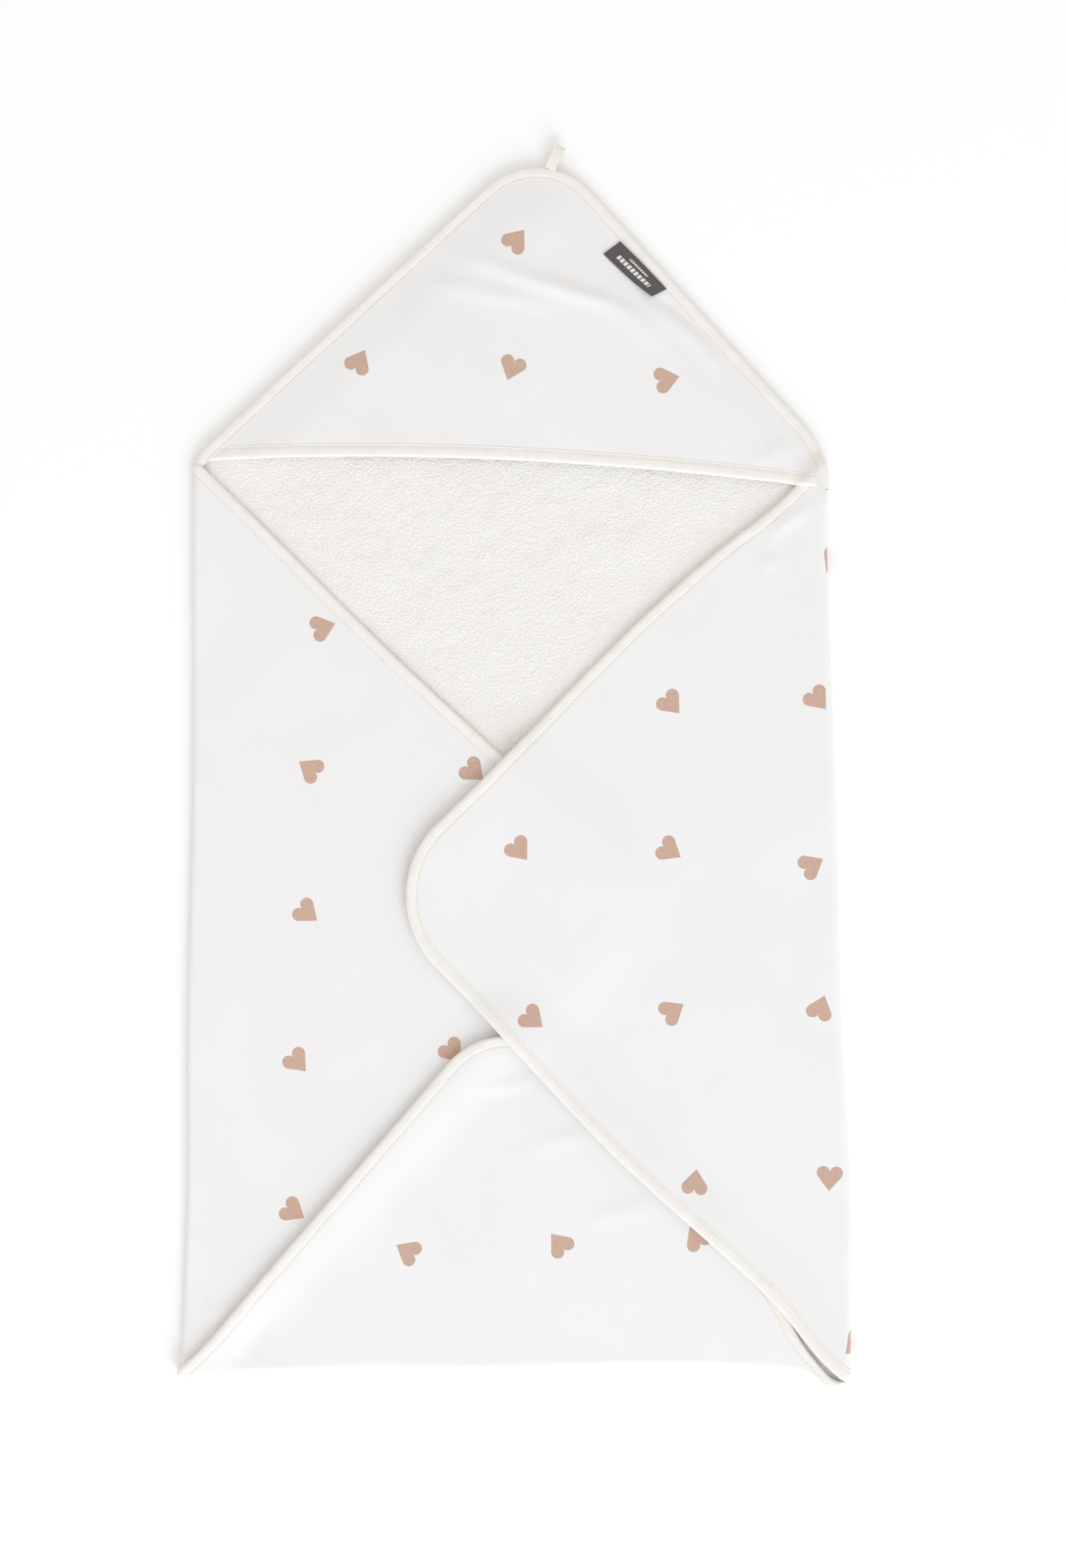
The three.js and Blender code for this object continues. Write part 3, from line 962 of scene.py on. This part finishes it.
def terry_bump(tree):
    return plus(tree, loops(tree, LOOP_SIZE), times(tree, noise(tree, 5, 3), 1.4))


def tape_colour(tree):
    return mix(tree, spread(tree, noise(tree, 9, 3), 0.35, 0.7), "#F2EFEA", "#EFEBE4")


def tape_bump(tree):
    """Fine jersey cut on the bias: slanting ribs 1 mm apart and little puckers by the stitches."""
    aslant = ribs(tree, 0.16, 1.5, "DIAGONAL", Detail=2.0)
    return plus(tree, times(tree, aslant, 0.4), noise(tree, 2.4, 3))


def thread_colour(tree):
    return mix(tree, noise(tree, 1.0), "#DDD3C3", "#E6DDD0")


printed_jersey = fabric("printed_cotton_jersey", 0.9, 0.10, jersey_colour, knit, 0.12, 0.0004)
terry = fabric("looped_cotton_terry", 0.95, 0.2, terry_colour, terry_bump, 0.4, 0.0009)
bias_tape = fabric("cotton_bias_tape", 0.9, 0.10, tape_colour, tape_bump, 0.2, 0.0004)
thread = fabric(
    "spun_polyester_thread", 0.7, 0.0, thread_colour, lambda tree: noise(tree, 0.5), 0.2, 0.0002
)

# ---- the panels ----


def clothe(made, material, node):
    made.data.materials.append(material)
    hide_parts(*node)
    return made


def under_tape(s):
    """How much the cloth is squeezed by its tape."""
    return 1 - smooth((s - 6) / 5)


def bind(cloth, line, name, bottom, tape_nodes, stitch_node, lower=None):
    """An edge's tape and its topstitch, placed on the cloth, and riding on the back where the edge
    is sewn to it."""
    binding, under = tape(name + "tape", cloth, line, TAPE_RISE, bottom, lower)
    stitches, beside = stitch_row(name + "stitches", cloth, line, lower)
    for made, where in ((binding, under), (stitches, beside)):
        if "back_binding" in tape_nodes:
            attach(made, "back")
        else:
            follow(made, cloth, where)
    clothe(binding, bias_tape, tape_nodes)
    clothe(stitches, thread, [stitch_node])
    return [binding, stitches]


def nowhere(x, y):
    return False


def under_right_flap(x, y):
    return from_right_flap(x, y) < -UNDER_FLAP


for flap in flaps:
    panel = flap.name + "_"
    grid = flap.grid(JERSEY_INSET, 220, 120)
    jersey = cloth_sheet(panel + "jersey_cloth", flap, grid, pinch, jersey_back)
    print_on(jersey, hearts_of(flap.name, nowhere if flap is right else under_right_flap))
    clothe(jersey, printed_jersey, [panel + "jersey"])

    grid = flap.grid(PILE_INSET, 160, 90)
    pile = cloth_sheet(
        panel + "terry_cloth", flap, grid, pile_top, lambda s: -CLOTH + 1.1 * under_tape(s)
    )
    clothe(pile, terry, [panel + "terry"])

    nodes = [panel + "binding"], panel + "topstitch"
    trim = bind(flap, flap.edge_line(), panel, -CLOTH + 0.1, *nodes)
    sheets = (jersey, trim), (pile, [])

# ---- the back ----


def back_grid(inset, step):
    """Rows across the back, from the foot fold to the tip. The lowest rows follow the fold's bow,
    and each row runs between the side folds' rolls or the hood's sewn edges."""
    low, high = feet[1] + foot.roll, tip_centre[1] + TIP_RADIUS - inset - 2
    count = int((high - low) / step)
    rows = np.linspace(low, high, count)

    def bowed(x, y):
        fold = foot.plan((x - foot.start[0]) / foot.along[0], foot.roll + CLEAR)[1]
        return y + (fold - low) * (1 - smooth((y - low) / 120))

    sides = []
    for flap, outside in ((left, -260.0), (right, 260.0)):
        y = bowed(np.sign(outside) * 233.0, rows)
        u = (y - flap.start[1]) / flap.along[1]
        fold = flap.plan(u, flap.roll + CLEAR / 2)[0]
        ends = np.full(count, outside), np.full(count, tip_centre[0])
        sewn_x = found(lambda x: in_from_seams(x, y) - inset, *ends)
        nearer = np.maximum(fold, sewn_x) if flap is left else np.minimum(fold, sewn_x)
        sides.append(np.where(y > shoulders[1] - 60, nearer, fold))
    share = np.linspace(0, 1, int(460 / step))[None, :]
    x = sides[0][:, None] * (1 - share) + sides[1][:, None] * share
    return x, bowed(x, rows[:, None])


def back_sheet(name, step, inset, between):
    """One of the back's two cloths, between two heights over the table. They are functions of
    the place and of s, how far in from the sewn edges it is."""
    x, y = back_grid(inset, step)
    inner, outer = (np.stack([x, y, z], -1) for z in between(x, y, in_from_seams(x, y)))
    return shell(name, outer, inner, (x, y))


def jersey_between(x, y, s):
    """The back's rim is drawn up by the hood's tape."""
    raised = 0.85 * (1 - smooth((s - 7) / 8))
    return raised, raised + JERSEY - SLIP


def pile_between(x, y, s):
    """The pile stands in small waves, and is pressed down towards the rim."""
    waves = pile_waves.at(x, y)[0] * smooth(s / 30)
    bottom = jersey_between(x, y, s)[0] + JERSEY
    return bottom, CLOTH - 1.0 * (1 - smooth(s / 25)) + waves


back_jersey = back_sheet("back_jersey_cloth", 4.0, JERSEY_INSET, jersey_between)
pile_waves = Relief(rumple(17, 3.0, 0.12) + rumple(19, 14, 0.25))
back_pile = back_sheet("back_terry_cloth", 3.0, PILE_INSET, pile_between)


def clear_of_folds(x, y):
    return all(flap.own(x, y)[1] > 20 for flap in flaps)


print_on(back_jersey, hearts_of("back", clear_of_folds))
clothe(back_jersey, printed_jersey, ["back_jersey"])
clothe(back_pile, terry, ["back_terry"])
for made in (back_jersey, back_pile):
    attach(made, "back")

# ---- the hood ----


def hood_grid(inset, columns, rows):
    """Columns across the hood, each from the hem to a sewn edge."""
    x = np.linspace(shoulder_left[0] + 13, shoulder_right[0] - inset, columns)
    ends = np.full(columns, 460.0), np.full(columns, 196.0)
    high = found(lambda y: in_from_seams(x, y) - inset, *ends)
    low = np.minimum(np.interp(x, hem[:, 0], hem[:, 1]) + inset, high - 0.6)
    share = np.linspace(0, 1, rows)[:, None]
    return np.broadcast_to(x, (rows, columns)), low + (high - low) * share


grid = hood_grid(JERSEY_INSET, 180, 100)
hood_jersey = cloth_sheet("hood_jersey_cloth", hood, grid, pinch, jersey_back)
print_on(hood_jersey, hearts_of("hood", nowhere))
clothe(hood_jersey, printed_jersey, ["hood_jersey"])

grid = hood_grid(PILE_INSET, 150, 80)
thick = CLOTH - 1.5 * (1 - smooth(in_from_seams(*grid) / 28))
thick = thick - 0.9 * under_tape(hem_inside(*grid))
lining = cloth_sheet("hood_terry_lining", hood, grid, pile_top, lambda s: -thick)
clothe(lining, terry, ["hood_terry"])


def by_the_seams(x, y):
    """The hem's tape and stitches go down under the edge tape at both ends."""
    return -0.9 * (1 - smooth((in_from_seams(x, y) - 7) / 6))


hem_edge = Line(hem[(hem[:, 0] > shoulder_left[0] + 9) & (in_from_seams(*hem.T) > 2.5)][::-1])
nodes = ["hood_hem_binding"], "hood_hem_topstitch"
hem_trim = bind(hood, hem_edge, "hem_", -CLOTH + 0.4, *nodes, by_the_seams)


def hood_edge():
    """The sewn edge, from the left shoulder round the tip and the right shoulder to under the
    hem's end."""
    touches = [tip - run * tip_setback for run in hood_runs]
    angle = np.linspace(*(np.arctan2(*(point - tip_centre)[::-1]) for point in touches), 60)
    arc = tip_centre + TIP_RADIUS * np.stack([np.cos(angle), np.sin(angle)], 1)
    first, last = -left_of(hood_runs[1]), -left_of(end_run)
    turn = np.linspace(0, 1, 12)[:, None]
    bend = end_centre + END_RADIUS * np.array([unit(p) for p in first * (1 - turn) + last * turn])
    start = shoulder_left - hood_runs[0] * 2
    end = bend[-1] - end_run * (END_BELOW - end_setback)
    return Line(np.vstack([[start], arc, bend, [end]]))


edge = hood_edge()
edge_x, edge_y = edge.inside(edge.at, 5.0)
to_table = 0.1 - hood_relief.at(edge_x, edge_y)[0]
nodes = ["hood_edge_binding", "back_binding"], "hood_edge_topstitch"
edge_trim = bind(hood, edge, "edge_", to_table, *nodes)

# ---- label and loop ----

LABEL_LONG, LABEL_WIDE, LABEL_THICK = 47.0, 15.0, 0.6
LABEL_DOWN, LABEL_IN = 94, 9.3  # from the tip along the seam, and in from it


def label_colour(tree):
    """A dark damask ground with a plain row of pale woven bars and a finer row beside it."""
    along, across = measures(tree)

    def bars(pitch, gap, middle, half, first, last):
        """Blocks along a row: their share of a repeat, times the row's own width and length."""
        beat = times(tree, math(tree, "FRACT", math(tree, "DIVIDE", along, pitch)), pitch)
        block = math(tree, "GREATER_THAN", beat, gap)
        off = math(tree, "ABSOLUTE", less(tree, across, middle))
        row = math(tree, "LESS_THAN", off, half)
        begun = math(tree, "GREATER_THAN", along, first)
        inside = times(tree, begun, math(tree, "LESS_THAN", along, last))
        return times(tree, times(tree, block, row), inside)

    large = bars(pitch=3.4, gap=0.9, middle=8.9, half=1.7, first=8.0, last=39.2)
    small = bars(pitch=1.9, gap=0.7, middle=4.3, half=0.8, first=14.6, last=32.0)
    pale = math(tree, "MAXIMUM", large, small)
    ground = mix(tree, noise(tree, 1.2, 3), "#4A4545", "#5C5757")
    return mix(tree, pale, ground, "#E4E1DF")


def label_bump(tree):
    """Damask ribs across the label, 0.5 mm apart in the real weave and drawn 0.9 mm apart."""
    return ribs(tree, 0.18, 0.4)


damask = fabric("damask_woven_label", 0.6, 0.3, label_colour, label_bump, 0.25, 0.0002)

label_run = -hood_runs[1]
label_in = -left_of(label_run)
label_from = tip + label_run * LABEL_DOWN + label_in * LABEL_IN
t, d = np.meshgrid(np.linspace(0, 1, 40), np.linspace(0, 1, 16))
skew = -(1.4 + 1.6 * t) * d  # its free edge slips up towards the tip
swing = 1.0 * np.sin(np.pi * t) * (d - 0.4)
at_run = t * LABEL_LONG + skew
at_in = d * (LABEL_WIDE - 2.6 * t) - 1.6 * t + swing
lx, ly = (label_from[k] + label_run[k] * at_run + label_in[k] * at_in for k in range(2))
rise = 0.35 + 0.5 * np.sin(np.pi * d * 0.5) * np.sin(np.pi * t)
rise += 2.6 * d**2 * smooth((t - 0.55) / 0.45)  # its lower free corner stands up
rise += TAPE_RISE * (1 - smooth((in_from_seams(lx, ly) - 8) / 5))
outer, inner = hood.place(lx, ly, rise + LABEL_THICK), hood.place(lx, ly, rise)
label = shell("label_cloth", outer, inner, (t * LABEL_LONG, d * LABEL_WIDE))
follow(label, hood, (lx, ly))
clothe(label, damask, ["woven_label"])


def ribbon_colour(tree):
    return mix(tree, noise(tree, 2.0, 3), "#EDE6DB", "#F2EDE5")


def ribbon_bump(tree):
    """Ribs across a grosgrain ribbon, 0.8 mm apart."""
    return ribs(tree, 0.2, 0.6)


ribbon = fabric("cotton_grosgrain_ribbon", 0.85, 0.1, ribbon_colour, ribbon_bump, 0.3, 0.0003)

LOOP_OUT, LOOP_WIDE, LOOP_THICK = 17.0, 8.0, 0.9
LOOP_ROOT = 1.2  # how far its ends go into the seam
LOOP_RISE = 2.3
LOOP_ROUND = 38  # the ribbon's length
swing_joint = [j for j in frame["joints"] if j["name"] == "loop_swing"][0]
loop_base = np.array(swing_joint["pos_m"]) / MM
loop_side = np.array(swing_joint["axis"], float)
loop_out = np.array([-loop_side[1], loop_side[0], 0])


def loop_line(t, inset):
    """The loop from the side: out along the upper run, round the eye and back, as a drop whose
    width grows with the square root of the way out. t goes from 0 to 1 round it."""
    angle = 2 * np.pi * t
    out = (1 - np.cos(angle)) / 2
    wide = np.sin(angle) * (0.55 + 0.45 * out)
    return -LOOP_ROOT + (LOOP_OUT + LOOP_ROOT - inset) * out**0.9, (LOOP_RISE - inset) * wide


t, across = np.meshgrid(np.linspace(0.0, 1.0, 61), np.linspace(-0.5, 0.5, 9))
aside = across * (LOOP_WIDE * (1 - 0.12 * np.sin(np.pi * t)))
sheets = []
for inset in (0.0, LOOP_THICK):
    out, up = loop_line(t, inset)
    level = loop_base + out[..., None] * loop_out + aside[..., None] * loop_side
    sheets.append(level + up[..., None] * [0, 0, 1])
loop = shell("loop_ribbon", *sheets, (t * LOOP_ROUND, aside))
clothe(loop, ribbon, ["hanging_loop"])
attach(loop, "loop")

# ---- the back's area as cut, and cloths paired with their trims ----

high = tip[1] - shoulders[1]
wide = norm(shoulder_right - shoulder_left)
long = norm(tip - feet)
back_area = (wide + norm(foot_right - foot_left)) / 2 * (long - high) + wide * high / 2
sheets = (back_jersey, edge_trim), (back_pile, [])
sheets = (hood_jersey, [*hem_trim, label]), (lining, [])

# ---- table, light and camera ----


def backdrop():
    """A broad plain sheet of matt white paper just under the towel."""
    half, below = 4000.0, -0.7
    square = ((-1, -1), (1, -1), (1, 1), (-1, 1))
    mesh = bpy.data.meshes.new("floor")
    points = np.array([(x * half, y * half, below) for x, y in square])
    mesh.from_pydata(points * MM, [], [(0, 1, 2, 3)])
    made = placed("floor", mesh)
    paper, tree, shader = node_material("matt_white_paper")
    matt = {"Roughness": 1.0, "Specular IOR Level": 0.0}
    give(tree, shader, {"Base Color": linear("#FEFEFE"), **matt})
    made.data.materials.append(paper)
    made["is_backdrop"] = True


def soft_light(name, place, size, power, colour):
    """A square light at that place in metres, turned to the towel's middle."""
    light = bpy.data.lights.new(name, "AREA")
    light.shape = "SQUARE"
    light.size = size
    light.energy = power
    light.color = colour
    made = placed(name, light)
    made.location = place
    made.rotation_euler = Vector([-v for v in place]).to_track_quat("-Z", "Y").to_euler()


backdrop()
world = bpy.data.worlds.new("studio")
world.use_nodes = True
sky = world.node_tree.nodes["Background"]
give(world.node_tree, sky, {"Color": (1, 0.98, 0.952, 1), "Strength": 0.83})
scene.world = world
soft_light("window_softbox", (1.95, -5.4, 3.1), 4.5, power=250.0, colour=(0.8, 0.885, 1.0))

MIDDLE = (13.1 * MM, -16.0 * MM)
AWAY, VIEW_HEIGHT = 2.6, 1.116  # metres
SENSOR = 24
camera_data = bpy.data.cameras.new("camera")
camera_data.sensor_fit = "VERTICAL"
camera_data.sensor_height = SENSOR
camera_data.lens = SENSOR * AWAY / VIEW_HEIGHT
camera = placed("camera", camera_data)
camera.location = (*MIDDLE, AWAY)
scene.camera = camera
scene.view_settings.view_transform = "Standard"

low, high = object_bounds()
